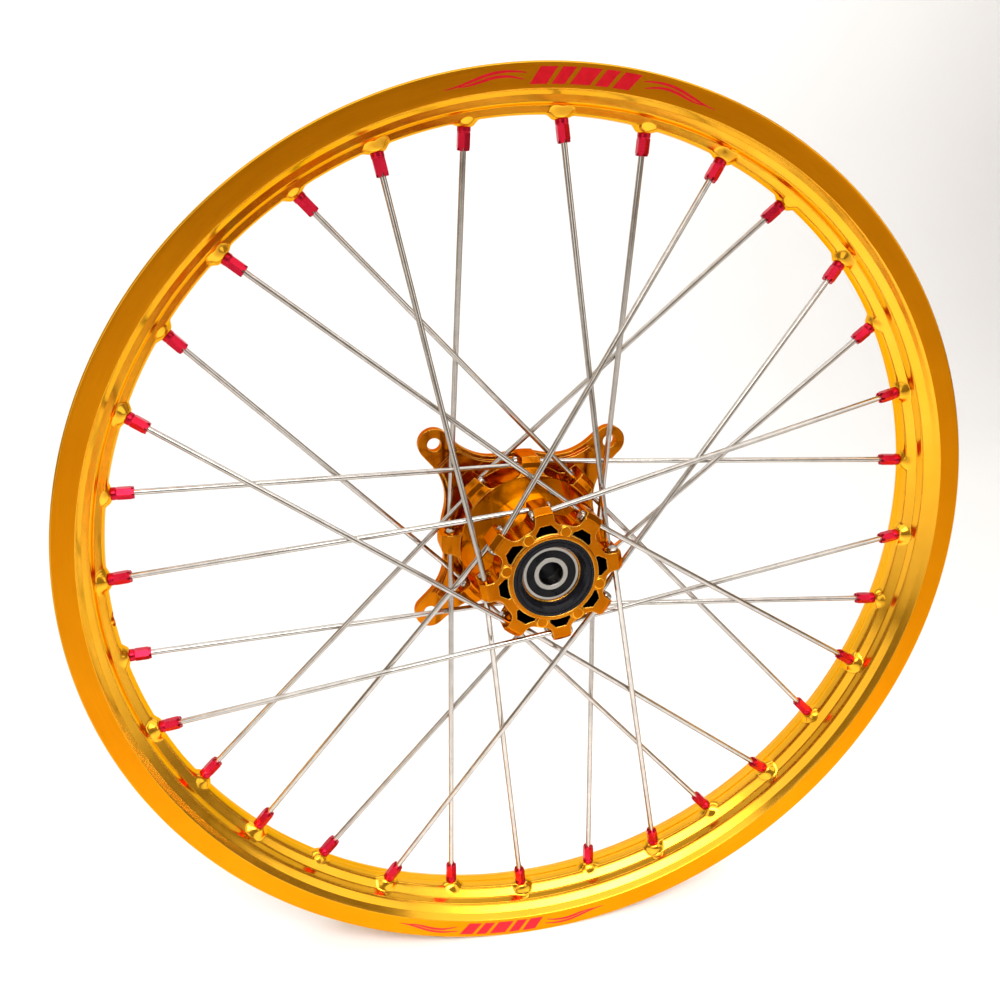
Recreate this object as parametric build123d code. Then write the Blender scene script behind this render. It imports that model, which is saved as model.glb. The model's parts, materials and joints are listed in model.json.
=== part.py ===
from build123d import *
from math import acos, atan2, cos, degrees, radians, sin, sqrt
import os

os.makedirs("parts", exist_ok=True)

# Bare laced front wheel of an off-road motorcycle: 21 x 1.60 rim, 32 straight spokes,
# cast hub with lobed flanges, a four-arm brake disc carrier, two sealed ball bearings.
# Millimetres.  The origin is the wheel's centre and the wheel turns about +Y.
# -Y is the left side (plain flange), +Y is the right side (brake disc carrier), +Z is up.

# ------------------------------------------------------------------ driving dimensions
# Rim
RIM_RADIUS = 280.3
RIM_HALF_WIDTH = 24.25
RIM_INSIDE_HALF_WIDTH = 20.25
BEAD_SEAT_RADIUS = 266.3
WELL_RADIUS = 256.0          # hub side of the well
WELL_WALL = 2.6
BOSS_TOP_RADIUS = 4.4
BOSS_BASE_RADIUS = 8.4
VALVE_HOLE_RADIUS = 4.15

# Spokes and nipples
SPOKE_COUNT = 32
SPOKE_PITCH = 360 / SPOKE_COUNT
FIRST_SPOKE_ANGLE = 9.9      # of the first rim hole, from +X towards +Z
SPOKE_RADIUS = 1.7
HOLE_PITCH_RADIUS = 262.0    # where the spoke lines are evenly spaced round the rim
HOLE_OFFSET = 1.8            # of those points from the rim's middle plane
LACING_ANGLE = 7 * SPOKE_PITCH
SPOKE_HEAD_RADIUS = 3.3
SPOKE_HEAD_LENGTH = 2.8
NIPPLE_HEAD_RADIUS = 4.5
NIPPLE_SHANK_RADIUS = 3.3
NIPPLE_COLLAR_RADIUS = 3.75
NIPPLE_FLAT_RADIUS = 3.35    # from the nipple's axis to each wrench flat
RUNNING_GAP = 0.05

# Hub flanges: each lobe carries two crossing spokes
LOBE_COUNT = 8
LEFT_ROOT_RADIUS = 33.4
LEFT_TIP_RADIUS = 44.2
LEFT_SPOKE_RADIUS = 39.6
LEFT_SPOKE_Y = (-31.2, -23.5)
LEFT_FACE_Y = -37.2
LEFT_BACK_Y = -17.5
RIGHT_ROOT_RADIUS = 46.0
RIGHT_TIP_RADIUS = 56.8
RIGHT_SPOKE_RADIUS = 49.9
RIGHT_SPOKE_Y = (35.8, 28.2)
RIGHT_FRONT_Y = 17.5
RIGHT_BACK_Y = 42.0

# Brake disc carrier
CARRIER_RADIUS = 53.5
CARRIER_FRONT_Y = 45.5
CARRIER_BACK_Y = 51.5
DISC_FACE_Y = 52.0
DISC_BOLT_RADIUS = 84.0
DISC_HOLE_RADIUS = 4.5
ARM_COUNT = 4
ARM_TIP_RADIUS = 10.5

# Bearings 15 x 35 x 11 and dust seals
AXLE_RADIUS = 7.5
BEARING_RADIUS = 17.5
BEARING_WIDTH = 11.0
LEFT_BEARING_Y = -32.0       # outer face
RIGHT_BEARING_Y = 46.5       # outer face
BALL_RADIUS = 2.976
BALL_PITCH_RADIUS = 12.5
BALL_COUNT = 8
SEAL_RADIUS = 25.0
SEAL_WIDTH = 5.4
LEFT_END_Y = -38.5
RIGHT_END_Y = 53.0

# Lobe angles: the left lobes line up with the right-hand rim holes, the right lobes sit one
# spoke pitch behind them.
LOBE_PITCH = 360 / LOBE_COUNT
LEFT_LOBE_ANGLE = FIRST_SPOKE_ANGLE
RIGHT_LOBE_ANGLE = FIRST_SPOKE_ANGLE - SPOKE_PITCH
ARM_ANGLE = 42.9
VALVE_ANGLE = FIRST_SPOKE_ANGLE + 15.5 * SPOKE_PITCH


# ------------------------------------------------------------------ helpers
def polar(radius, angle):
    """Point in the wheel's plane at an angle from +X towards +Z."""
    return radius * cos(radians(angle)), radius * sin(radians(angle))


def turned(points, fillets=0.0):
    """Solid of revolution about the axle from (radius, y) points."""
    outline = FilletPolyline(*points, radius=fillets, close=True)
    return revolve(make_face(outline), Axis.Y)


def ring(inner, outer, y_low, y_high):
    """Plain annulus about the axle."""
    return turned([(inner, y_low), (outer, y_low), (outer, y_high), (inner, y_high)])


def plate(sketch, y_low, y_high):
    """A sketch drawn in the wheel's plane, given thickness along the axle."""
    return extrude(Plane.XZ.offset(-y_low) * sketch, amount=y_low - y_high)


def around(shape, count, first=0.0, keep=lambda index: True):
    """Copies of a sketch evenly spaced about its origin."""
    return [Rot(0, 0, first + index * 360 / count) * shape for index in range(count) if keep(index)]


def near_radius(vertices, radius, band=0.6):
    """The vertices of a plane sketch that lie at one distance from its origin."""
    return [v for v in vertices if abs(sqrt(v.X**2 + v.Y**2) - radius) < band]


def write(name, shape):
    """Write one node as a STEP file."""
    shape.label = name
    export_step(shape, f"parts/{name}.step")


# ------------------------------------------------------------------ spoke lines
def spoke_line(index):
    """Rim point, hub point and unit direction towards the hub of one spoke.

    Even spokes go to the right flange, odd ones to the left.  The first two of every four
    lean one way, the next two the other way, in their own plane of the flange.
    """
    right = index % 2 == 0
    lean = 1 if index % 4 < 2 else -1
    rim_angle = FIRST_SPOKE_ANGLE + index * SPOKE_PITCH
    rim_x, rim_z = polar(HOLE_PITCH_RADIUS, rim_angle)
    radius = RIGHT_SPOKE_RADIUS if right else LEFT_SPOKE_RADIUS
    hub_x, hub_z = polar(radius, rim_angle + lean * LACING_ANGLE)
    planes = RIGHT_SPOKE_Y if right else LEFT_SPOKE_Y
    rim_point = Vector(rim_x, HOLE_OFFSET if right else -HOLE_OFFSET, rim_z)
    hub_point = Vector(hub_x, planes[0 if lean > 0 else 1], hub_z)
    return rim_point, hub_point, (hub_point - rim_point).normalized()


def rim_plane(index):
    """Plane at a spoke's rim point, with its normal along the spoke towards the hub."""
    rim_point, _, direction = spoke_line(index)
    return Plane(origin=rim_point, x_dir=(0, 1, 0), z_dir=direction)


def hub_plane(index):
    """Plane at a spoke's hub point, with its normal along the spoke away from the rim."""
    _, hub_point, direction = spoke_line(index)
    return Plane(origin=hub_point, x_dir=(0, 1, 0), z_dir=direction)


# Distances along a spoke from its rim point towards the hub
NIPPLE_TOP = 1.0
NIPPLE_SEAT = 3.9
BOSS_TOP = 8.2
NIPPLE_NECK = 11.2
NIPPLE_END = 20.4
# Distance from a spoke's hub point to its head's seat
LEFT_HEAD_SEAT = 5.0
RIGHT_HEAD_SEAT = 5.8


def head_seat(index):
    return RIGHT_HEAD_SEAT if index % 2 == 0 else LEFT_HEAD_SEAT


# ------------------------------------------------------------------ rim
def rim_section():
    """Closed (radius, y) outline of the rim and the fillet at each corner."""
    well = WELL_RADIUS
    inner_well = WELL_RADIUS + WELL_WALL
    half = [
        (well, 3.5, 7.0),
        (260.7, 14.0, 5.0),
        (264.7, 19.0, 2.0),
        (267.3, 22.8, 1.2),
        (RIM_RADIUS - 0.6, RIM_HALF_WIDTH, 0.9),
        (RIM_RADIUS, RIM_HALF_WIDTH - 1.6, 0.9),
        (RIM_RADIUS - 0.4, RIM_INSIDE_HALF_WIDTH + 0.4, 0.8),
        (BEAD_SEAT_RADIUS + 1.6, RIM_INSIDE_HALF_WIDTH, 1.2),
        (BEAD_SEAT_RADIUS, RIM_INSIDE_HALF_WIDTH - 2.4, 1.2),
        (BEAD_SEAT_RADIUS - 0.3, 15.4, 1.5),
        (inner_well + 3.6, 11.4, 3.0),
        (inner_well, 4.0, 4.5),
    ]
    mirrored = [(radius, -y, fillet) for radius, y, fillet in reversed(half)]
    outline = half + mirrored
    return [(radius, y) for radius, y, _ in outline], [fillet for _, _, fillet in outline]


def boss(index):
    """Punched boss under one nipple, as a cone along the spoke."""
    base = 2.7
    cone = Cone(
        BOSS_BASE_RADIUS, BOSS_TOP_RADIUS, BOSS_TOP - base,
        align=(Align.CENTER, Align.CENTER, Align.MIN),
    )
    return rim_plane(index).offset(base) * cone


def nipple_hole(index):
    """Through hole with a flat seat for the nipple's head on the tyre side."""
    low = (Align.CENTER, Align.CENTER, Align.MIN)
    through = Cylinder(NIPPLE_SHANK_RADIUS + RUNNING_GAP, 30, align=low)
    seat = Cylinder(NIPPLE_HEAD_RADIUS + 0.4, NIPPLE_SEAT + RUNNING_GAP + 5, align=low)
    plane = rim_plane(index)
    return plane.offset(-5) * through + plane.offset(-5) * seat


def build_rim():
    points, fillets = rim_section()
    body = turned(points, fillets)
    body += [boss(index) for index in range(SPOKE_COUNT)]
    body -= [nipple_hole(index) for index in range(SPOKE_COUNT)]
    valve_x, valve_z = polar(1, VALVE_ANGLE)
    valve_plane = Plane(origin=(0, 0, 0), z_dir=(valve_x, 0, valve_z))
    drill = Cylinder(VALVE_HOLE_RADIUS, 40, align=(Align.CENTER, Align.CENTER, Align.MIN))
    return body - valve_plane.offset(WELL_RADIUS - 20) * drill


# ------------------------------------------------------------------ nipples and spokes
def nipple_shape():
    """One nipple along +Z, with z counted from the spoke's rim point."""
    bore = SPOKE_RADIUS + 0.02
    profile = [
        (bore, NIPPLE_TOP, 0),
        (3.2, NIPPLE_TOP, 1.0),
        (NIPPLE_HEAD_RADIUS, NIPPLE_TOP + 1.6, 0.6),
        (NIPPLE_HEAD_RADIUS, NIPPLE_SEAT, 0),
        (NIPPLE_SHANK_RADIUS, NIPPLE_SEAT, 0),
        (NIPPLE_SHANK_RADIUS, BOSS_TOP + RUNNING_GAP, 0),
        (NIPPLE_COLLAR_RADIUS, BOSS_TOP + RUNNING_GAP, 0.3),
        (NIPPLE_COLLAR_RADIUS, NIPPLE_NECK - 0.7, 0.4),
        (NIPPLE_FLAT_RADIUS, NIPPLE_NECK, 0),
        (bore, NIPPLE_NECK, 0),
    ]
    outline = FilletPolyline(
        *[(radius, 0, z) for radius, z, _ in profile],
        radius=[fillet for _, _, fillet in profile], close=True,
    )
    collar = revolve(make_face(outline), Axis.Z)
    corner = NIPPLE_FLAT_RADIUS / cos(radians(30))
    hexagon = RegularPolygon(corner, 6) - Circle(bore)
    wrench = extrude(Plane.XY.offset(NIPPLE_NECK) * hexagon, amount=NIPPLE_END - NIPPLE_NECK)
    rounding = Cone(corner + 1.9, corner - 0.5, 2.4, align=(Align.CENTER, Align.CENTER, Align.MAX))
    bar = Cylinder(corner + 1, NIPPLE_END - 2.4 - NIPPLE_NECK + 1,
                   align=(Align.CENTER, Align.CENTER, Align.MIN))
    envelope = Pos(0, 0, NIPPLE_END) * rounding + Pos(0, 0, NIPPLE_NECK - 1) * bar
    wrench = wrench & envelope
    notch = Box(1.3, 12, 1.4, align=(Align.CENTER, Align.CENTER, Align.MAX))
    notches = [Rot(0, 0, 30 + 60 * step) * notch for step in range(3)]
    wrench -= Pos(0, 0, NIPPLE_END) * notches[0]
    wrench -= Pos(0, 0, NIPPLE_END) * notches[1]
    wrench -= Pos(0, 0, NIPPLE_END) * notches[2]
    slot = Box(1.4, 12, 1.2, align=(Align.CENTER, Align.CENTER, Align.MIN))
    return collar + wrench - Pos(0, 0, NIPPLE_TOP) * slot


def build_spoke(index):
    """Straight spoke with a conical-necked head, from its thread end to its head."""
    rim_point, hub_point, _ = spoke_line(index)
    seat = (hub_point - rim_point).length + head_seat(index)
    start = NIPPLE_TOP + 1.4
    profile = [
        (0, start, 0),
        (SPOKE_RADIUS - 0.3, start, 0),
        (SPOKE_RADIUS, start + 0.3, 0),
        (SPOKE_RADIUS, seat + RUNNING_GAP, 0),
        (SPOKE_HEAD_RADIUS, seat + RUNNING_GAP, 0.2),
        (SPOKE_HEAD_RADIUS, seat + SPOKE_HEAD_LENGTH - 0.8, 0.5),
        (SPOKE_RADIUS + 0.4, seat + SPOKE_HEAD_LENGTH, 0.5),
        (0, seat + SPOKE_HEAD_LENGTH, 0),
    ]
    outline = FilletPolyline(
        *[(radius, 0, z) for radius, z, _ in profile],
        radius=[fillet for _, _, fillet in profile], close=True,
    )
    return rim_plane(index) * revolve(make_face(outline), Axis.Z)


# ------------------------------------------------------------------ hub
def lobed_disc(root_radius, tip_radius, root_half, tip_half, first_angle, root_fillet):
    """Flange outline: a disc with eight square-ended lobes and round valleys."""
    inner = root_radius - 6
    outer = tip_radius + 3
    lobe = make_face(Polyline(
        (inner, -root_half), (tip_radius, -tip_half), (outer, -tip_half), (outer, tip_half),
        (tip_radius, tip_half), (inner, root_half), close=True,
    )) & Circle(tip_radius)
    sketch = Sketch() + Circle(root_radius) + around(lobe, LOBE_COUNT, first_angle)
    sketch = fillet(near_radius(sketch.vertices(), root_radius), root_fillet)
    return fillet(near_radius(sketch.vertices(), tip_radius), 1.2)


def left_flange():
    outline = lobed_disc(LEFT_ROOT_RADIUS, LEFT_TIP_RADIUS, 6.6, 5.3, LEFT_LOBE_ANGLE, 5.2)
    flange = plate(outline, LEFT_FACE_Y, LEFT_BACK_Y)
    envelope = turned(
        [(0, LEFT_FACE_Y), (LEFT_TIP_RADIUS - 3.4, LEFT_FACE_Y), (LEFT_TIP_RADIUS + 0.6, LEFT_FACE_Y + 4.2),
         (LEFT_TIP_RADIUS + 0.6, LEFT_BACK_Y - 2.2), (LEFT_TIP_RADIUS - 1.6, LEFT_BACK_Y), (0, LEFT_BACK_Y)],
        [0, 1.2, 0, 0, 0, 0],
    )
    return flange & envelope


def right_flange():
    outline = lobed_disc(RIGHT_ROOT_RADIUS, RIGHT_TIP_RADIUS, 8.2, 5.6, RIGHT_LOBE_ANGLE, 5.2)
    flange = plate(outline, RIGHT_FRONT_Y, RIGHT_BACK_Y)
    envelope = turned(
        [(0, RIGHT_FRONT_Y), (46.5, RIGHT_FRONT_Y), (50.0, 20.6), (53.6, 21.6),
         (RIGHT_TIP_RADIUS + 0.6, 24.8), (RIGHT_TIP_RADIUS + 0.6, RIGHT_BACK_Y), (0, RIGHT_BACK_Y)],
        [0, 2.0, 2.0, 2.0, 0, 0, 0],
    )
    return flange & envelope


def carrier_outline(inset=0.0):
    """Four-armed outline of the brake disc carrier, optionally drawn smaller all round."""
    arm = make_face(Polyline(
        (20, -12.9 + inset), (DISC_BOLT_RADIUS, inset - ARM_TIP_RADIUS),
        (DISC_BOLT_RADIUS, ARM_TIP_RADIUS - inset), (20, 12.9 - inset), close=True,
    ))
    tip = Pos(DISC_BOLT_RADIUS, 0) * Circle(ARM_TIP_RADIUS - inset)
    disc = Circle(CARRIER_RADIUS - inset)
    arms = around(Sketch() + arm + tip, ARM_COUNT, ARM_ANGLE)
    sketch = Sketch() + disc + arms
    return fillet(near_radius(sketch.vertices(), CARRIER_RADIUS - inset), 36.0 + inset)


def build_carrier():
    """Carrier plate, its raised middle, and the faces that the brake disc bolts to."""
    thick = plate(carrier_outline(), CARRIER_FRONT_Y, CARRIER_BACK_Y)
    middle = carrier_outline(2.6) & Rot(0, 0, ARM_ANGLE) * Rectangle(143, 143)
    thick += plate(middle, RIGHT_BACK_Y, CARRIER_FRONT_Y)
    pad = Pos(DISC_BOLT_RADIUS, 0) * Circle(ARM_TIP_RADIUS - 0.6)
    for face in around(pad, ARM_COUNT, ARM_ANGLE):
        thick += plate(face, CARRIER_BACK_Y, DISC_FACE_Y)
    bolt = Pos(DISC_BOLT_RADIUS, 0) * Circle(DISC_HOLE_RADIUS)
    for hole in around(bolt, ARM_COUNT, ARM_ANGLE):
        thick -= plate(hole, CARRIER_FRONT_Y - 2, DISC_FACE_Y + 2)
    return thick


def build_hub():
    body = turned(
        [(0, LEFT_END_Y), (27.3, LEFT_END_Y), (27.3, LEFT_FACE_Y + 1), (LEFT_ROOT_RADIUS - 1.0, LEFT_FACE_Y + 1),
         (LEFT_ROOT_RADIUS - 0.5, -20), (34.6, -15), (40.2, 0), (RIGHT_ROOT_RADIUS, 17.0),
         (RIGHT_ROOT_RADIUS, CARRIER_BACK_Y), (30, CARRIER_BACK_Y), (30, RIGHT_END_Y), (0, RIGHT_END_Y)],
        [0, 0.8, 0, 0, 2, 6, 20, 6, 0, 0.6, 0.6, 0],
    )
    body += left_flange()
    body += right_flange()
    body += build_carrier()
    # round pads between the left lobes; two of the eight valleys have none
    pad = Rot(0, 0, LOBE_PITCH / 2) * Pos(29.5, 0) * Circle(3.7)
    for face in around(pad, LOBE_COUNT, LEFT_LOBE_ANGLE, keep=lambda index: index not in (0, 4)):
        body += plate(face, LEFT_FACE_Y - 0.5, LEFT_FACE_Y + 2)
    # cored pockets behind the left lobes
    pocket = make_face(Polyline(
        (33.5, -3.3), (33.5, 3.3), (29.0, 6.7), (26.5, 6.2), (26.5, -6.2), (29.0, -6.7), close=True,
    )) - Circle(28.0)
    for opening in around(pocket, LOBE_COUNT, LEFT_LOBE_ANGLE):
        body -= plate(opening, LEFT_FACE_Y - 1, -22.0)
    # relief pockets round the right bearing
    relief = Pos(38, 0) * RectangleRounded(9, 13, 2.5)
    for opening in around(relief, LOBE_COUNT, RIGHT_LOBE_ANGLE):
        body -= plate(opening, 36.0, RIGHT_END_Y)
    # seal seats, bearing seats, shoulders and the cast hollow between them
    left_inner = LEFT_BEARING_Y + BEARING_WIDTH
    right_inner = RIGHT_BEARING_Y - BEARING_WIDTH
    body -= turned([
        (0, LEFT_END_Y - 1), (SEAL_RADIUS, LEFT_END_Y - 1), (SEAL_RADIUS, LEFT_BEARING_Y - 0.7),
        (BEARING_RADIUS, LEFT_BEARING_Y - 0.7), (BEARING_RADIUS, left_inner),
        (15.0, left_inner), (15.0, left_inner + 3), (24.0, left_inner + 6),
        (33.0, 12), (33.0, 26), (15.0, right_inner - 3), (15.0, right_inner),
        (BEARING_RADIUS, right_inner), (BEARING_RADIUS, RIGHT_BEARING_Y + 0.7),
        (SEAL_RADIUS, RIGHT_BEARING_Y + 0.7), (SEAL_RADIUS, RIGHT_END_Y + 1), (0, RIGHT_END_Y + 1),
    ])
    for index in range(SPOKE_COUNT):
        body -= spoke_drilling(index)
    return body


def spoke_drilling(index):
    """Hole through a lobe and the spot-face that its spoke's head sits on."""
    low = (Align.CENTER, Align.CENTER, Align.MIN)
    plane = hub_plane(index)
    hole = plane.offset(-12) * Cylinder(SPOKE_RADIUS + 0.2, 24, align=low)
    spot_face = plane.offset(head_seat(index)) * Cylinder(SPOKE_HEAD_RADIUS + 1.0, 9, align=low)
    return hole + spot_face


# ------------------------------------------------------------------ bearings, seals and tube
def bearing(side, outer_face_y):
    """The six pieces of one sealed ball bearing; side is -1 on the left and +1 on the right."""
    inner_face_y = outer_face_y - side * BEARING_WIDTH
    low, high = sorted((outer_face_y, inner_face_y))
    middle = (low + high) / 2
    land_outer = 15.4
    shoulder_outer = 14.4
    land_inner = 10.5
    shield_depth = 1.3
    groove = Torus(BALL_PITCH_RADIUS, BALL_RADIUS + 0.04)
    groove = Pos(0, middle, 0) * Rot(90, 0, 0) * groove
    outer_race = turned([
        (shoulder_outer, low + shield_depth), (land_outer, low + shield_depth), (land_outer, low),
        (BEARING_RADIUS, low), (BEARING_RADIUS, high), (land_outer, high),
        (land_outer, high - shield_depth), (shoulder_outer, high - shield_depth),
    ], [0, 0, 0, 0.6, 0.6, 0, 0, 0]) - groove
    inner_race = turned([
        (AXLE_RADIUS, low), (land_inner, low), (land_inner, high), (AXLE_RADIUS, high),
    ], [0.5, 0.3, 0.3, 0.5]) - groove
    angles = [360 / BALL_COUNT * index for index in range(BALL_COUNT)]
    centres = [(x, middle, z) for x, z in (polar(BALL_PITCH_RADIUS, angle) for angle in angles)]
    balls = [Pos(*centre) * Sphere(BALL_RADIUS) for centre in centres]
    cage = ring(11.5, 13.5, middle - 4.2, middle - 3.15)
    post = Pos(BALL_PITCH_RADIUS, 0) * Rectangle(1.6, 2.4)
    for face in around(post, BALL_COUNT, 180 / BALL_COUNT):
        cage += plate(face, middle - 3.6, middle + 1.8)
    shields = []
    for face, inward in ((outer_face_y, -side), (inner_face_y, side)):
        start = face + inward * 0.25
        end = start + inward * 0.9
        shields.append(ring(land_inner + 0.3, land_outer, min(start, end), max(start, end)))
    return {
        "outer_race": outer_race, "inner_race": inner_race, "balls": Compound(children=balls),
        "cage": cage, "outer_shield": shields[0], "inner_shield": shields[1],
    }


def dust_seal(side, end_y):
    """Rubber ring with a flat rim and a funnel-shaped lip that runs down to the bearing."""
    face = end_y - side * 0.3
    return turned([
        (18.0, face - side * SEAL_WIDTH), (SEAL_RADIUS, face - side * SEAL_WIDTH), (SEAL_RADIUS, face),
        (23.4, face), (23.1, face - side * 0.5), (22.6, face - side * 0.5), (22.3, face),
        (20.6, face), (19.2, face - side * 1.8), (18.0, face - side * 4.2),
    ])


# ------------------------------------------------------------------ write every node
write("rim", build_rim())
write("hub", build_hub())

nipple = nipple_shape()
for name, first in (("nipples_right_leading", 0), ("nipples_left_leading", 1),
                    ("nipples_right_trailing", 2), ("nipples_left_trailing", 3)):
    group = [rim_plane(index) * nipple for index in range(first, SPOKE_COUNT, 4)]
    write(name, Compound(children=group))

for spoke_index in range(SPOKE_COUNT):
    write(f"spoke_{spoke_index + 1:02d}", build_spoke(spoke_index))

for side_name, side_sign, face_y in (("left", -1, LEFT_BEARING_Y), ("right", 1, RIGHT_BEARING_Y)):
    for piece, shape in bearing(side_sign, face_y).items():
        write(f"bearing_{side_name}_{piece}", shape)

write("dust_seal_left", dust_seal(-1, LEFT_END_Y))
write("dust_seal_right", dust_seal(1, RIGHT_END_Y))
write("distance_tube", ring(AXLE_RADIUS + 0.05, 10.0, LEFT_BEARING_Y + BEARING_WIDTH,
                            RIGHT_BEARING_Y - BEARING_WIDTH))
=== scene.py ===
"""Looks of the spoked wheel: materials, a finely shaped rim, band graphics and the studio."""

import json
import math

import bpy
import numpy as np
from mathutils import Matrix, Vector


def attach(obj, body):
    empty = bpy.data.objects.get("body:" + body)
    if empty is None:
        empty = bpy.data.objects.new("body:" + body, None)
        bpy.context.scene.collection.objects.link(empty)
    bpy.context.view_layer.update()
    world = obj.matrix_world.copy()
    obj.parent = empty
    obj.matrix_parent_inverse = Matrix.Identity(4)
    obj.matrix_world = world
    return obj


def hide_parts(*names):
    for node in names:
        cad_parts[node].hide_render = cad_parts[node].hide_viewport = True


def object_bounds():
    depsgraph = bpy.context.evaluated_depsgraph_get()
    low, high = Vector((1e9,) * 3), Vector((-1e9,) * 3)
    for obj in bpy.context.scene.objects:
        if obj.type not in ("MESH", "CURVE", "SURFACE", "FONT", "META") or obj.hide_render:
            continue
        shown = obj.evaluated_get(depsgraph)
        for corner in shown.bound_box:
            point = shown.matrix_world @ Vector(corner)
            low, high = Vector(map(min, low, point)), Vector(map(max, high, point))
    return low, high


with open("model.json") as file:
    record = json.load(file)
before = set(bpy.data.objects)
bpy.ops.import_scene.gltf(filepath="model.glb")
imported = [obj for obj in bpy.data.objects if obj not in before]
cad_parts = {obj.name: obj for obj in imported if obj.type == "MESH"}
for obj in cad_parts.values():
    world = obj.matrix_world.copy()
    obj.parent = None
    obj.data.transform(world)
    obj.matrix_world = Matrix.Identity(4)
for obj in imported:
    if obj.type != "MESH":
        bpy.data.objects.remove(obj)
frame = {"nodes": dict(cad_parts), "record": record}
cad_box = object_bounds()
nodes = frame["nodes"]
MM = 0.001


# ------------------------------------------------------------------ material helpers
class Nodes:
    """A material's node tree with short calls for adding and linking nodes."""

    def __init__(self, name):
        self.material = bpy.data.materials.new(name)
        self.material.use_nodes = True
        self.tree = self.material.node_tree
        self.tree.nodes.clear()
        self.shader = self.add("ShaderNodeBsdfPrincipled")
        output = self.add("ShaderNodeOutputMaterial")
        self.tree.links.new(self.shader.outputs[0], output.inputs[0])

    def add(self, kind, inputs=None, **settings):
        made = self.tree.nodes.new(kind)
        for key, value in settings.items():
            setattr(made, key, value)
        for key, value in (inputs or {}).items():
            self.put(made.inputs[key], value)
        return made

    def put(self, socket, value):
        """Link a socket to another node's output, or give it a fixed value."""
        if isinstance(value, bpy.types.NodeSocket):
            self.tree.links.new(value, socket)
        else:
            socket.default_value = value

    def set(self, **values):
        for key, value in values.items():
            self.put(self.shader.inputs[key.replace("_", " ")], value)

    def math(self, operation, first, second=0.0):
        return self.add("ShaderNodeMath", {0: first, 1: second}, operation=operation).outputs[0]

    def position(self):
        """Object coordinates: a piece's mesh is in the wheel's own frame."""
        return self.add("ShaderNodeTexCoord").outputs["Object"]

    def noise(self, vector, scale, detail=3.0, roughness=0.55):
        return self.add("ShaderNodeTexNoise", {
            "Vector": vector, "Scale": scale, "Detail": detail, "Roughness": roughness,
        }).outputs["Fac"]

    def spread(self, factor, low, high, from_low=0.3, from_high=0.7):
        return self.add("ShaderNodeMapRange", {
            "Value": factor, "From Min": from_low, "From Max": from_high,
            "To Min": low, "To Max": high,
        }).outputs[0]

    def colours(self, factor, stops):
        ramp = self.add("ShaderNodeValToRGB", {"Fac": factor})
        ramp.color_ramp.elements[0].position = stops[0][0]
        ramp.color_ramp.elements[0].color = (*stops[0][1], 1)
        ramp.color_ramp.elements[1].position = stops[-1][0]
        ramp.color_ramp.elements[1].color = (*stops[-1][1], 1)
        for place, colour in stops[1:-1]:
            ramp.color_ramp.elements.new(place).color = (*colour, 1)
        return ramp.outputs[0]

    def bump(self, height, strength, distance, normal=None):
        inputs = {"Height": height, "Strength": strength, "Distance": distance}
        if normal is not None:
            inputs["Normal"] = normal
        return self.add("ShaderNodeBump", inputs).outputs[0]

    def soft_edges(self, radius):
        return self.add("ShaderNodeBevel", {"Radius": radius}, samples=4).outputs[0]

    def blend(self, factor, first, second):
        mixed = self.add("ShaderNodeMix", data_type="RGBA")
        for name, value in (("Factor_Float", factor), ("A_Color", first), ("B_Color", second)):
            socket = next(each for each in mixed.inputs if each.identifier == name)
            self.put(socket, value)
        return next(each for each in mixed.outputs if each.identifier == "Result_Color")

    def between(self, value, low, high):
        above = self.math("GREATER_THAN", value, low)
        return self.math("MULTIPLY", above, self.math("LESS_THAN", value, high))

    def turning(self, radial, along, axial):
        """Coordinates stretched round the axle, for marks left by turning and brushing."""
        parts = self.add("ShaderNodeSeparateXYZ", {0: self.position()}).outputs
        flat = self.add("ShaderNodeCombineXYZ", {0: parts[0], 2: parts[2]}).outputs[0]
        length = self.add("ShaderNodeVectorMath", {0: flat}, operation="LENGTH").outputs["Value"]
        unit = self.add("ShaderNodeVectorMath", {0: flat}, operation="NORMALIZE").outputs[0]
        round_parts = self.add("ShaderNodeSeparateXYZ", {0: unit}).outputs
        across = self.math("ADD", self.math("MULTIPLY", length, radial),
                           self.math("MULTIPLY", parts[1], axial))
        return self.add("ShaderNodeCombineXYZ", {
            0: across,
            1: self.math("MULTIPLY", round_parts[0], along),
            2: self.math("MULTIPLY", round_parts[2], along),
        }).outputs[0]


def rim_band_material():
    made = Nodes("rim_band_satin")
    streaks = made.noise(made.turning(5200.0, 14.0, 2600.0), 1.0, 4.0, 0.65)
    clouds = made.noise(made.position(), 16.0, 2.0)
    tone = made.math(
        "ADD", made.math("MULTIPLY", streaks, 0.55), made.math("MULTIPLY", clouds, 0.45))
    made.set(
        Base_Color=made.colours(tone, [
            (0.30, (0.76, 0.245, 0.002)), (0.5, (0.83, 0.280, 0.003)), (0.70, (0.90, 0.320, 0.005)),
        ]),
        Metallic=1.0,
        Specular_Tint=(1.0, 0.40, 0.03, 1),
        Roughness=made.spread(streaks, 0.30, 0.42),
        Anisotropic=0.35,
        Normal=made.bump(streaks, 0.12, 0.00004),
    )
    return made.material


def rim_polish_material():
    made = Nodes("rim_polished_gold")
    clouds = made.noise(made.position(), 22.0, 2.0)
    fine = made.noise(made.turning(1500.0, 20.0, 1500.0), 1.0, 3.0)
    made.set(
        Base_Color=made.colours(clouds, [
            (0.30, (0.84, 0.400, 0.020)), (0.70, (0.90, 0.445, 0.032)),
        ]),
        Metallic=1.0,
        Specular_Tint=(1.0, 0.68, 0.26, 1),
        Roughness=made.spread(fine, 0.13, 0.21),
        Normal=made.bump(fine, 0.03, 0.00003),
    )
    return made.material


# where the left flange's cored pockets lie, whose insides get painted shade, in metres: radii, and
# planes along the axle
POCKET_RADII = (0.0276, 0.0333)
POCKET_PLANES = (-0.0368, -0.0219)


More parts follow.
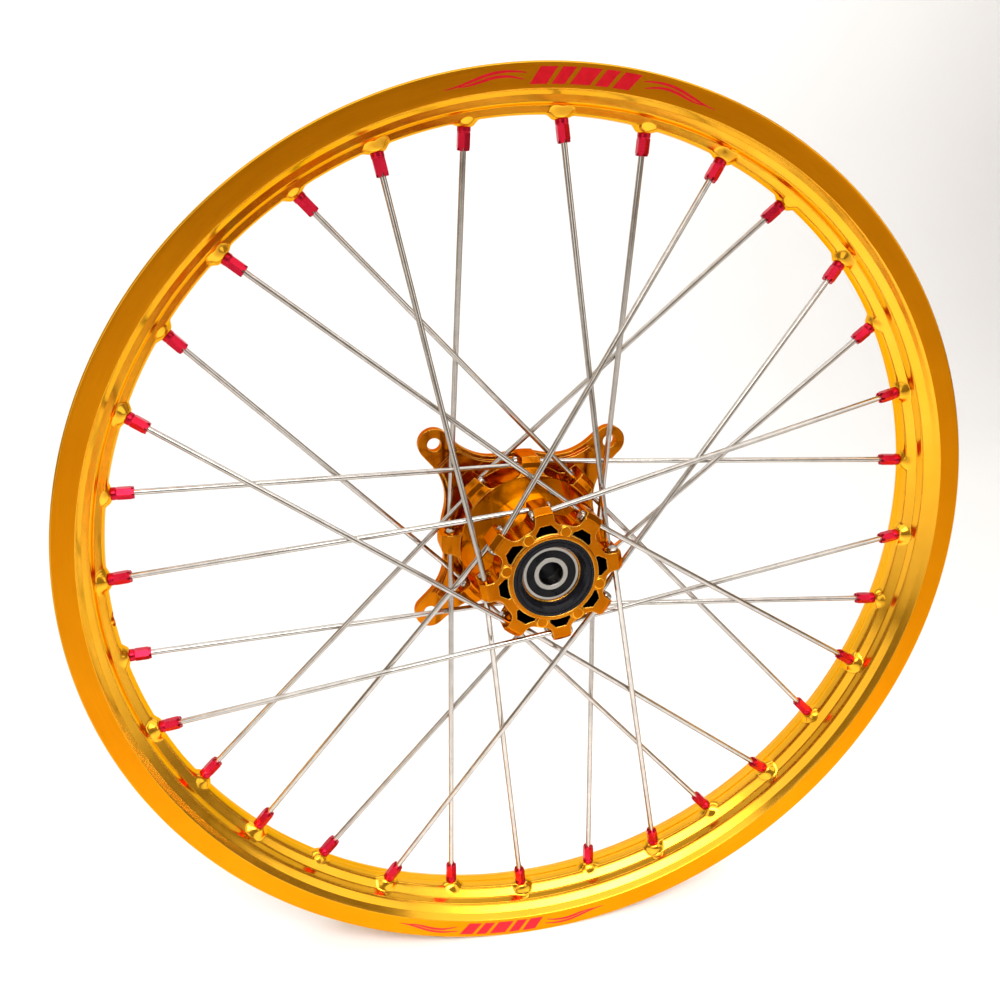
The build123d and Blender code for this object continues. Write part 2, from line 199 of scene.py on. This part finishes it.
def hub_material():
    """Glossy orange-gold casting, with a painted highlight in pale yellow along its edges and
    painted shade, black, inside the cored pockets.
    """
    made = Nodes("hub_cast_gold")
    place = made.position()
    clouds = made.noise(place, 60.0, 3.0)
    grain = made.noise(place, 700.0, 3.0)
    rounded = made.soft_edges(0.0009)
    flat = made.add("ShaderNodeNewGeometry").outputs["Normal"]
    alike = made.add(
        "ShaderNodeVectorMath", {0: rounded, 1: flat}, operation="DOT_PRODUCT").outputs["Value"]
    # painted highlight: near an edge, where the rounded normal leaves the true normal, the colour
    # is blended towards pale yellow
    edge = made.spread(alike, 1.0, 0.0, 0.88, 0.99)
    tone = made.colours(clouds, [
        (0.30, (0.44, 0.108, 0.001)), (0.5, (0.52, 0.138, 0.002)), (0.72, (0.60, 0.172, 0.004)),
    ])
    lit = made.blend(made.math("MULTIPLY", edge, 0.85), tone, (0.98, 0.62, 0.10, 1))
    parts = made.add("ShaderNodeSeparateXYZ", {0: place}).outputs
    squares = made.math("ADD", made.math("MULTIPLY", parts[0], parts[0]),
                        made.math("MULTIPLY", parts[2], parts[2]))
    radius = made.math("SQRT", squares)
    # painted shade: the insides of the cored pockets are painted near black and made rough
    pocket_painted_shade = made.math("MULTIPLY", made.between(radius, *POCKET_RADII),
                       made.between(parts[1], *POCKET_PLANES))
    made.set(
        Base_Color=made.blend(pocket_painted_shade, lit, (0.004, 0.003, 0.003, 1)),
        Metallic=1.0,
        Specular_Tint=(0.90, 0.42, 0.08, 1),
        Roughness=made.math(
            "ADD", made.spread(clouds, 0.09, 0.17), made.math("MULTIPLY", pocket_painted_shade, 0.5)),
        Normal=made.bump(grain, 0.09, 0.00005, rounded),
    )
    return made.material


def spoke_material():
    made = Nodes("spoke_stainless")
    wear = made.noise(made.position(), 140.0, 3.0)
    made.set(
        Base_Color=made.colours(wear, [
            (0.30, (0.50, 0.475, 0.44)), (0.70, (0.64, 0.615, 0.58)),
        ]),
        Metallic=1.0,
        Specular_Tint=(0.10, 0.085, 0.07, 1),
        Roughness=made.spread(wear, 0.10, 0.18),
        Normal=made.bump(made.noise(made.position(), 1600.0), 0.04, 0.00003),
    )
    return made.material


def nipple_material():
    made = Nodes("nipple_red_anodised")
    tone = made.noise(made.position(), 90.0, 2.0)
    fine = made.noise(made.position(), 2400.0, 2.0)
    made.set(
        Base_Color=made.colours(tone, [
            (0.30, (0.52, 0.006, 0.028)), (0.70, (0.66, 0.014, 0.045)),
        ]),
        Metallic=0.9,
        Roughness=made.spread(fine, 0.20, 0.30),
        Normal=made.bump(fine, 0.05, 0.00003, made.soft_edges(0.00025)),
    )
    return made.material


def rubber_material(name, colour, rough_low, rough_high, bump, shine=0.12):
    made = Nodes(name)
    place = made.position()
    dust = made.noise(place, 180.0, 4.0)
    fine = made.noise(place, 2600.0, 2.0)
    pale = tuple(value * 1.9 + 0.004 for value in colour)
    made.set(
        Base_Color=made.colours(dust, [(0.35, colour), (0.80, pale)]),
        Roughness=made.spread(dust, rough_low, rough_high),
        Specular_IOR_Level=shine,
        Normal=made.bump(fine, bump, 0.00005),
    )
    return made.material


def turned_steel_material(name, dark, light, rough_low, rough_high):
    made = Nodes(name)
    rings = made.noise(made.turning(9000.0, 10.0, 9000.0), 1.0, 3.0)
    made.set(
        Base_Color=made.colours(rings, [(0.30, dark), (0.70, light)]),
        Metallic=1.0,
        Roughness=made.spread(rings, rough_low, rough_high),
        Normal=made.bump(rings, 0.08, 0.00003),
    )
    return made.material


def graphic_material():
    made = Nodes("band_graphic_red")
    tone = made.noise(made.position(), 300.0, 3.0)
    made.set(
        Base_Color=made.colours(tone, [
            (0.30, (0.66, 0.002, 0.012)), (0.70, (0.78, 0.004, 0.018)),
        ]),
        Roughness=made.spread(tone, 0.32, 0.44),
        Specular_IOR_Level=0.25,
    )
    return made.material


def floor_material():
    made = Nodes("studio_floor")
    tone = made.noise(made.position(), 3.0, 2.0)
    made.set(
        Base_Color=made.colours(tone, [(0.30, (0.93, 0.93, 0.93)), (0.70, (0.95, 0.95, 0.95))]),
        Roughness=made.spread(tone, 0.75, 0.85),
    )
    return made.material


rim_band = rim_band_material()
rim_polish = rim_polish_material()
by_slot = {
    "rim_gold": rim_polish,
    "hub_gold": hub_material(),
    "spoke_steel": spoke_material(),
    "nipple_red": nipple_material(),
    "seal_rubber": rubber_material(
        "seal_black_rubber", (0.003, 0.003, 0.005), 0.14, 0.22, 0.04, 0.22),
    "bearing_steel": turned_steel_material(
        "bearing_ground_steel", (0.36, 0.345, 0.31), (0.52, 0.50, 0.46), 0.16, 0.28),
    "shield_rubber": rubber_material(
        "shield_black_rubber", (0.004, 0.004, 0.005), 0.25, 0.38, 0.10),
    "cage_nylon": rubber_material(
        "cage_moulded_nylon", (0.30, 0.25, 0.17), 0.40, 0.55, 0.08),
    # painted shade: the distance tube inside the bore is made nearly black
    "tube_alloy": turned_steel_material(
        "tube_alloy_painted_shade", (0.05, 0.05, 0.055), (0.09, 0.09, 0.10), 0.35, 0.50),
}


def paint(piece, *materials, of_faces=None):
    """Give a piece these materials in place of any that it has, and say which each face takes."""
    piece.data.materials.clear()
    for material in materials:
        piece.data.materials.append(material)
    if of_faces is not None:
        piece.data.polygons.foreach_set("material_index", of_faces)


for row in frame["record"]["subparts"]:
    node = nodes[row["node"]]
    paint(node, by_slot[row["material_slot"]])


# ------------------------------------------------------------------ rim
# Half of the rim's outline, in mm. It is mirrored in the middle plane.
RIM_HALF = [
    # radius, distance from the middle plane, corner rounding
    (256.0, 3.4, 4.5),
    (260.6, 8.6, 2.2),
    (260.9, 14.0, 4.5),
    (264.9, 18.6, 2.6),
    (267.3, 22.8, 0.45),
    (279.7, 24.25, 0.8),
    (280.3, 22.65, 0.9),
    (279.9, 20.65, 0.8),
    (267.9, 20.25, 1.4),
    (266.3, 17.85, 1.4),
    (266.0, 13.6, 1.5),
    (263.4, 9.8, 2.0),
    (258.8, 4.4, 3.0),
]
BAND_CORNERS = (4, 5)            # the satin band lies between these two
RIM_CORNERS = 2 * len(RIM_HALF)
# straight runs, by their first corner, that carry the bosses and seats, and are divided finely
WELL_RUNS = (0, 11, 12, RIM_CORNERS - 2, RIM_CORNERS - 1)
WELL_STEP = 0.8
PLAIN_STEP = 2.4
SPOKES = 32
SPOKE_PITCH = 360 / SPOKES
FIRST_SPOKE = 9.9
HOLE_PITCH_RADIUS = 262.0
HOLE_OFFSET = 1.8
LACING = 7 * SPOKE_PITCH
# the spokes' hub ends, by whether the spoke goes to the right flange: radius, then the planes
# of the leading and the trailing holes
HUB_ENDS = {True: (49.9, (35.8, 28.2)), False: (39.6, (-31.2, -23.5))}
# bosses and nipple seats: height along the spoke, radius of the top, radius of the base
BOSS = (8.2, 4.0, 8.3)
SEAT = (3.85, 4.9, 6.6)
NIPPLE_REACH = math.radians(3.6)     # how far round the rim a boss can reach
# outline points that belong to the well: greatest radius and distance from the middle plane
HUB_SIDE_LIMITS = (261.4, 14.5)
TYRE_SIDE_LIMITS = (264.0, 12.5)
FINE_ANGLE = 2.15                # degrees to each side of a nipple with close columns
VALVE_GAP = 15                   # the gap between nipples that holds the valve hole
VALVE_ANGLE = FIRST_SPOKE + (VALVE_GAP + 0.5) * SPOKE_PITCH
VALVE_RADIUS = 4.15


def corner_arc(before, corner, after, radius, steps):
    """Points of the arc that rounds one corner of an outline."""
    a, b, c = (np.array(point, float) for point in (before, corner, after))
    to_a = (a - b) / np.linalg.norm(a - b)
    to_c = (c - b) / np.linalg.norm(c - b)
    half = math.acos(float(np.clip(to_a @ to_c, -1, 1))) / 2
    centre = b + (to_a + to_c) / np.linalg.norm(to_a + to_c) * radius / math.sin(half)
    start = b + to_a * radius / math.tan(half) - centre
    end = b + to_c * radius / math.tan(half) - centre
    turn = math.atan2(start[0] * end[1] - start[1] * end[0], float(start @ end))
    made = []
    for step in range(steps + 1):
        angle = turn * step / steps
        cos_a, sin_a = math.cos(angle), math.sin(angle)
        made.append(centre + np.array([
            start[0] * cos_a - start[1] * sin_a, start[0] * sin_a + start[1] * cos_a,
        ]))
    return made


def rim_outline():
    """Closed (radius, y) outline of the rim, finely divided, and a flag for its satin bands."""
    corners = RIM_HALF + [(radius, -y, arc) for radius, y, arc in reversed(RIM_HALF)]
    band = {BAND_CORNERS[0], RIM_CORNERS - 1 - BAND_CORNERS[1]}
    points = []
    flags = []
    for index, (radius, y, arc) in enumerate(corners):
        before = corners[index - 1][:2]
        following = corners[(index + 1) % RIM_CORNERS]
        steps = 3 if arc < 2 else 8
        rounded = corner_arc(before, (radius, y), following[:2], arc, steps)
        next_start = corner_arc((radius, y), following[:2], corners[(index + 2) % RIM_CORNERS][:2],
                                following[2], 3)[0]
        points.extend(rounded)
        flags.extend([False] * (len(rounded) - 1))
        span = np.linalg.norm(next_start - rounded[-1])
        step = WELL_STEP if index in WELL_RUNS else PLAIN_STEP
        parts = max(1, round(span / step))
        flags.extend([index in band] * parts)
        for part in range(1, parts):
            points.append(rounded[-1] + (next_start - rounded[-1]) * part / parts)
    return np.array(points), flags


def spoke_frame(index):
    """Rim point and direction towards the hub of one spoke, in mm."""
    right = index % 2 == 0
    lean = 1 if index % 4 < 2 else -1
    angle = math.radians(FIRST_SPOKE + index * SPOKE_PITCH)
    far = math.radians(FIRST_SPOKE + index * SPOKE_PITCH + lean * LACING)
    radius, planes = HUB_ENDS[right]
    start = np.array([
        HOLE_PITCH_RADIUS * math.cos(angle), HOLE_OFFSET if right else -HOLE_OFFSET,
        HOLE_PITCH_RADIUS * math.sin(angle),
    ])
    end = np.array([radius * math.cos(far), planes[0 if lean > 0 else 1], radius * math.sin(far)])
    return start, (end - start) / np.linalg.norm(end - start)


def rim_angles():
    """Column angles: close together at each nipple and at the valve hole, wider between."""
    near = np.linspace(-FINE_ANGLE, FINE_ANGLE, 33)
    wide = np.linspace(FINE_ANGLE, SPOKE_PITCH - FINE_ANGLE, 11)[1:-1]
    fine = np.linspace(FINE_ANGLE, SPOKE_PITCH - FINE_ANGLE, 53)[1:-1]
    made = []
    for index in range(SPOKES):
        start = FIRST_SPOKE + index * SPOKE_PITCH
        made.extend(start + near)
        made.extend(start + (fine if index == VALVE_GAP else wide))
    return np.radians(np.array(made))


def smooth(value):
    """Eased step from 0 to 1."""
    value = np.clip(value, 0.0, 1.0)
    return value * value * (3 - 2 * value)


def mid_wall_radius(y):
    """Radius of the middle of the well's wall, flat in the centre and sloped to each side."""
    flat_radius, flat_half, slope, rise = 257.3, 3.9, 0.87, 4.3
    return flat_radius + min(max(0.0, abs(y) - flat_half) * slope, rise)


def in_well(outline, limits):
    """Flags the outline's points that are nearer the axle and the middle plane than limits."""
    radius, half = limits
    return (outline[:, 0] < radius) & (np.abs(outline[:, 1]) < half)


def cut_valve_hole(points, faces, on_outer_wall, wall_shapes):
    """Cut the round hole for the valve; returns a flag for each face kept and the hole's wall."""
    turn = math.radians(VALVE_ANGLE)
    round_way = np.array([-math.sin(turn), 0.0, math.cos(turn)])
    axis = np.array([math.cos(turn), 0.0, math.sin(turn)])
    offset = np.stack([points @ round_way, points[:, 1]], axis=1)
    near = (np.linalg.norm(offset, axis=1) < 2 * VALVE_RADIUS) & (points @ axis > 0)
    middle = np.linalg.norm(offset[faces].mean(axis=1), axis=1)
    kept = ~(near[faces].all(axis=1) & (middle < VALVE_RADIUS))
    edge = np.intersect1d(faces[~kept], faces[kept])
    loops = []
    for is_outer, (across, radii) in zip((True, False), wall_shapes):
        loop = edge[on_outer_wall[edge] == is_outer]
        angle = np.arctan2(offset[loop, 1], offset[loop, 0])
        loop, angle = loop[np.argsort(angle)], np.sort(angle)
        along = VALVE_RADIUS * np.cos(angle)
        y = VALVE_RADIUS * np.sin(angle)
        height = np.sqrt(np.interp(y, across, radii) ** 2 - along ** 2)
        points[loop] = along[:, None] * round_way + height[:, None] * axis
        points[loop, 1] = y
        loops.append((loop, np.append(angle, angle[0] + 2 * math.pi)))
    (outer, outer_angle), (inner, inner_angle) = loops
    wall = []
    i = j = 0
    while i < len(outer) or j < len(inner):
        a, b = outer[i % len(outer)], inner[j % len(inner)]
        if j == len(inner) or (i < len(outer) and outer_angle[i + 1] <= inner_angle[j + 1]):
            i += 1
            wall.append((int(b), int(a), int(outer[i % len(outer)])))
        else:
            j += 1
            wall.append((int(a), int(inner[j % len(inner)]), int(b)))
    return kept, wall


def wall_shape(outline, rows):
    """One wall of the well as sorted distances from the middle plane and their radii."""
    chosen = outline[rows]
    order = np.argsort(chosen[:, 1])
    return chosen[order, 1], chosen[order, 0]


def build_rim():
    """Rim swept round the axle, with its punched bosses and the seats of the nipples' heads."""
    outline, flags = rim_outline()
    angles = rim_angles()
    columns, rows = len(angles), len(outline)
    grid = np.zeros((columns, rows, 3))
    grid[:, :, 0] = np.cos(angles)[:, None] * outline[None, :, 0]
    grid[:, :, 1] = outline[None, :, 1]
    grid[:, :, 2] = np.sin(angles)[:, None] * outline[None, :, 0]
    # the hub side of the well's wall carries the bosses, and its tyre side the nipples' seats
    hub_side = np.array([radius <= mid_wall_radius(y) for radius, y in outline])
    outer_rows = in_well(outline, HUB_SIDE_LIMITS) & hub_side
    inner_rows = in_well(outline, TYRE_SIDE_LIMITS) & ~outer_rows
    flat = grid.reshape(-1, 3)
    column_of = np.repeat(np.arange(columns), rows)
    row_of = np.tile(np.arange(rows), columns)
    moved = flat.copy()
    for index in range(SPOKES):
        start, direction = spoke_frame(index)
        centre = math.radians(FIRST_SPOKE + index * SPOKE_PITCH)
        gap = np.abs((angles - centre + math.pi) % (2 * math.pi) - math.pi)
        near = gap[column_of] < NIPPLE_REACH
        for rows_here, (level, top, base) in ((outer_rows, BOSS), (inner_rows, SEAT)):
            chosen = np.nonzero(near & rows_here[row_of])[0]
            offset = flat[chosen] - start
            along = offset @ direction
            away = np.linalg.norm(offset - along[:, None] * direction, axis=1)
            weight = 1 - smooth((away - top) / (base - top))
            lift = (level - along) * weight
            moved[chosen] += lift[:, None] * direction
    faces = []
    for column in range(columns):
        following = (column + 1) % columns
        for row in range(rows):
            after = (row + 1) % rows
            faces.append((column * rows + row, following * rows + row,
                          following * rows + after, column * rows + after))
    faces = np.array(faces)
    kept, hole_wall = cut_valve_hole(
        moved, faces, outer_rows[row_of],
        (wall_shape(outline, outer_rows), wall_shape(outline, inner_rows)))
    satin = np.array([int(flag) for flag in flags] * columns)[kept].tolist()
    faces = faces[kept].tolist()
    mesh = bpy.data.meshes.new("rim_finished")
    mesh.from_pydata((moved * MM).tolist(), [], faces + hole_wall)
    mesh.polygons.foreach_set("use_smooth", [True] * len(faces) + [False] * len(hole_wall))
    piece = bpy.data.objects.new("rim_finished", mesh)
    bpy.context.scene.collection.objects.link(piece)
    paint(piece, rim_polish, rim_band, of_faces=satin + [0] * len(hole_wall))
    return piece


rim = build_rim()
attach(rim, "wheel")
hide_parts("rim")


# ------------------------------------------------------------------ band graphics
BAND_INNER = (267.3, 22.8)
BAND_OUTER = (279.7, 24.25)
GRAPHIC_MIDDLE = 273.4
GRAPHIC_PROUD = 0.05


def band_point(angle, radius, side, proud):
    """Point on a satin band, lifted off it by proud; side is -1 on the left and 1 on the right."""
    share = (radius - BAND_INNER[0]) / (BAND_OUTER[0] - BAND_INNER[0])
    y = BAND_INNER[1] + share * (BAND_OUTER[1] - BAND_INNER[1]) + proud
    turn = math.radians(angle)
    return (radius * math.cos(turn) * MM, side * y * MM, radius * math.sin(turn) * MM)


def stripe(low, high, steps):
    """Outline of a stripe: low and high give (angle, radius) for a share of its length."""
    shares = [step / steps for step in range(steps + 1)]
    return [(low(share), high(share)) for share in shares]


def graphic_stripes():
    """Five slanted blocks with a tapering double wave at each end, as (angle, radius) pairs."""
    made = []
    half = 4.1                               # of a block's height, in mm
    slant = 1.25                             # degrees, as are the widths and the gap
    widths = (1.9, 1.5, 2.3, 1.5, 1.9)
    gap = 0.55
    start = -(sum(widths) + gap * 4) / 2
    for width in widths:
        made.append(stripe(
            lambda share, a=start, w=width: (a + w * share + slant / 2, GRAPHIC_MIDDLE - half),
            lambda share, a=start, w=width: (a + w * share - slant / 2, GRAPHIC_MIDDLE + half),
            6,
        ))
        start += width + gap
    for end in (-1, 1):
        for lift, reach, first in ((1.5, 9.0, 6.6), (-1.6, 7.2, 6.9)):
            def wave(share, offset, e=end, up=lift, length=reach, begin=first):
                middle = GRAPHIC_MIDDLE + up * (1 - share) + 1.5 * math.sin(math.pi * 1.6 * share)
                thick = 0.62 * math.sin(math.pi * (0.08 + 0.88 * share)) + 0.08
                return e * (begin + length * share), middle + offset * thick
            made.append(stripe(
                lambda share, w=wave: w(share, -1), lambda share, w=wave: w(share, 1), 36))
    return made


def build_graphic(name, centre, side):
    """Thin painted stripes that lie on one band round the angle centre."""
    verts = []
    faces = []
    for pairs in graphic_stripes():
        base = len(verts)
        across = 4
        for low, high in pairs:
            for step in range(across + 1):
                share = step / across
                angle = low[0] + (high[0] - low[0]) * share
                radius = low[1] + (high[1] - low[1]) * share
                verts.append(band_point(centre + angle, radius, side, GRAPHIC_PROUD))
        for row in range(len(pairs) - 1):
            for step in range(across):
                corner = base + row * (across + 1) + step
                faces.append((corner, corner + 1, corner + across + 2, corner + across + 1))
    mesh = bpy.data.meshes.new(name)
    mesh.from_pydata(verts, [], faces)
    piece = bpy.data.objects.new(name, mesh)
    bpy.context.scene.collection.objects.link(piece)
    bpy.context.view_layer.objects.active = piece
    thick = piece.modifiers.new("thickness", "SOLIDIFY")
    thick.thickness = 0.08 * MM
    thick.offset = 0.0
    paint(piece, graphic)
    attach(piece, "wheel")


graphic = graphic_material()
for side_name, side in (("left", -1), ("right", 1)):
    for place, centre in (("top", 87.2), ("bottom", 264.6)):
        build_graphic(f"band_graphic_{side_name}_{place}", centre, side)


# ------------------------------------------------------------------ hub's face pads
PAD_FLAT_RADIUS = 2.9
PAD_EDGE = 0.85                  # radius of the rolled edge
PAD_HEIGHT = 1.15
PAD_SUNK = 0.4
PAD_PITCH_RADIUS = 29.5
PAD_GAPS = (1, 2, 3, 5, 6, 7)    # the gaps between lobes that have a pad
LEFT_FACE_Y = -37.2


def build_pads():
    """Round pads between the left lobes, with rolled edges in paler polished gold as a painted
    highlight.
    """
    profile = [(PAD_FLAT_RADIUS, PAD_HEIGHT)]
    for step in range(1, 7):
        angle = math.radians(90 * step / 6)
        profile.append((PAD_FLAT_RADIUS + PAD_EDGE * math.sin(angle),
                        PAD_HEIGHT - PAD_EDGE + PAD_EDGE * math.cos(angle)))
    profile.append((PAD_FLAT_RADIUS + PAD_EDGE, -PAD_SUNK))
    segments = 40
    verts = []
    faces = []
    for index in PAD_GAPS:
        turn = math.radians(FIRST_SPOKE + 22.5 + 45 * index)
        base = len(verts)
        for radius, height in profile:
            for segment in range(segments):
                angle = 2 * math.pi * segment / segments
                x = PAD_PITCH_RADIUS * math.cos(turn) + radius * math.cos(angle)
                z = PAD_PITCH_RADIUS * math.sin(turn) + radius * math.sin(angle)
                verts.append((x * MM, (LEFT_FACE_Y - height) * MM, z * MM))
        rings = len(profile)
        faces.append(tuple(base + segment for segment in reversed(range(segments))))
        for ring in range(rings - 1):
            for segment in range(segments):
                a = base + ring * segments + segment
                b = base + ring * segments + (segment + 1) % segments
                faces.append((a, b, b + segments, a + segments))
        faces.append(tuple(base + (rings - 1) * segments + segment for segment in range(segments)))
    mesh = bpy.data.meshes.new("hub_face_pads")
    mesh.from_pydata(verts, [], faces)
    mesh.polygons.foreach_set("use_smooth", [len(face) == 4 for face in faces])
    piece = bpy.data.objects.new("hub_face_pads", mesh)
    bpy.context.scene.collection.objects.link(piece)
    # painted highlight: the rolled edges take the rim's paler polished gold
    highlight_edge_faces = [int(len(face) == 4) for face in faces]
    paint(piece, by_slot["hub_gold"], rim_polish, of_faces=highlight_edge_faces)
    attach(piece, "wheel")


build_pads()


# ------------------------------------------------------------------ studio
def area_light(name, place, target, size, power, spread=180):
    lamp = bpy.data.lights.new(name, "AREA")
    lamp.shape = "RECTANGLE"
    lamp.size, lamp.size_y = size
    lamp.energy = power
    lamp.spread = math.radians(spread)
    lit = bpy.data.objects.new(name, lamp)
    bpy.context.scene.collection.objects.link(lit)
    lit.location = place
    lit.rotation_euler = (Vector(target) - Vector(place)).to_track_quat("-Z", "Y").to_euler()


def build_floor():
    """Pale floor that curves up into a backdrop behind the wheel."""
    low = cad_box[0][2]
    front, back, curve, top, half_width = -1.6, 0.9, 0.6, 2.6, 3.5
    profile = [(front, low), (back, low)]
    for step in range(1, 13):
        angle = math.radians(90 * step / 12)
        profile.append((back + math.sin(angle) * curve, low + (1 - math.cos(angle)) * curve))
    profile.append((back + curve, low + top))
    verts = [(x, y, z) for y, z in profile for x in (-half_width, half_width)]
    faces = [(2 * i, 2 * i + 1, 2 * i + 3, 2 * i + 2) for i in range(len(profile) - 1)]
    mesh = bpy.data.meshes.new("studio_floor")
    mesh.from_pydata(verts, [], faces)
    mesh.polygons.foreach_set("use_smooth", [True] * len(faces))
    floor = bpy.data.objects.new("studio_floor", mesh)
    bpy.context.scene.collection.objects.link(floor)
    paint(floor, floor_material())


build_floor()
area_light("overhead", (0.0, -0.45, 1.5), (0, -0.3, 0), (2.6, 2.0), 22)
area_light("front_left", (-1.05, -1.15, 0.45), (0, 0, 0), (0.9, 1.1), 3.2)
area_light("front_right", (1.15, -1.0, 0.5), (0, 0, 0), (0.8, 1.0), 3.2)
area_light("near_floor", (0.0, -0.62, 0.40), (0.03, -0.10, -0.3), (0.7, 0.3), 1.2, 60)
area_light("backdrop", (0.0, 0.55, 1.2), (0, 1.5, 0.2), (3.0, 0.6), 16)

world = bpy.data.worlds.new("studio")
world.use_nodes = True
background = world.node_tree.nodes["Background"]
background.inputs["Color"].default_value = (1.0, 0.87, 0.74, 1)
background.inputs["Strength"].default_value = 0.30
bpy.context.scene.world = world
bpy.context.scene.view_settings.view_transform = "Standard"
bpy.context.scene.view_settings.look = "None"

# the photograph's view, solved from the rim's outline and the nipples
CAMERA_PLACE = (-0.1470, -0.5119, 0.2268)
CAMERA_FORWARD = (0.1953, 0.9227, -0.3324)
CAMERA_RIGHT = (0.9783, -0.2071, 0.0)
CAMERA_LENS = 32.88
CAMERA_SHIFT = (0.0230, -0.0058)

right = Vector(CAMERA_RIGHT).normalized()
forward = Vector(CAMERA_FORWARD).normalized()
right = (right - right.dot(forward) * forward).normalized()
up = right.cross(forward)
camera_data = bpy.data.cameras.new("camera")
camera_data.sensor_width = 36.0
camera_data.lens = CAMERA_LENS
camera_data.shift_x, camera_data.shift_y = CAMERA_SHIFT
camera_data.clip_start = 0.01
camera = bpy.data.objects.new("camera", camera_data)
bpy.context.scene.collection.objects.link(camera)
rotation = Matrix((right, up, -forward)).transposed()
camera.matrix_world = Matrix.Translation(Vector(CAMERA_PLACE)) @ rotation.to_4x4()
bpy.context.scene.camera = camera
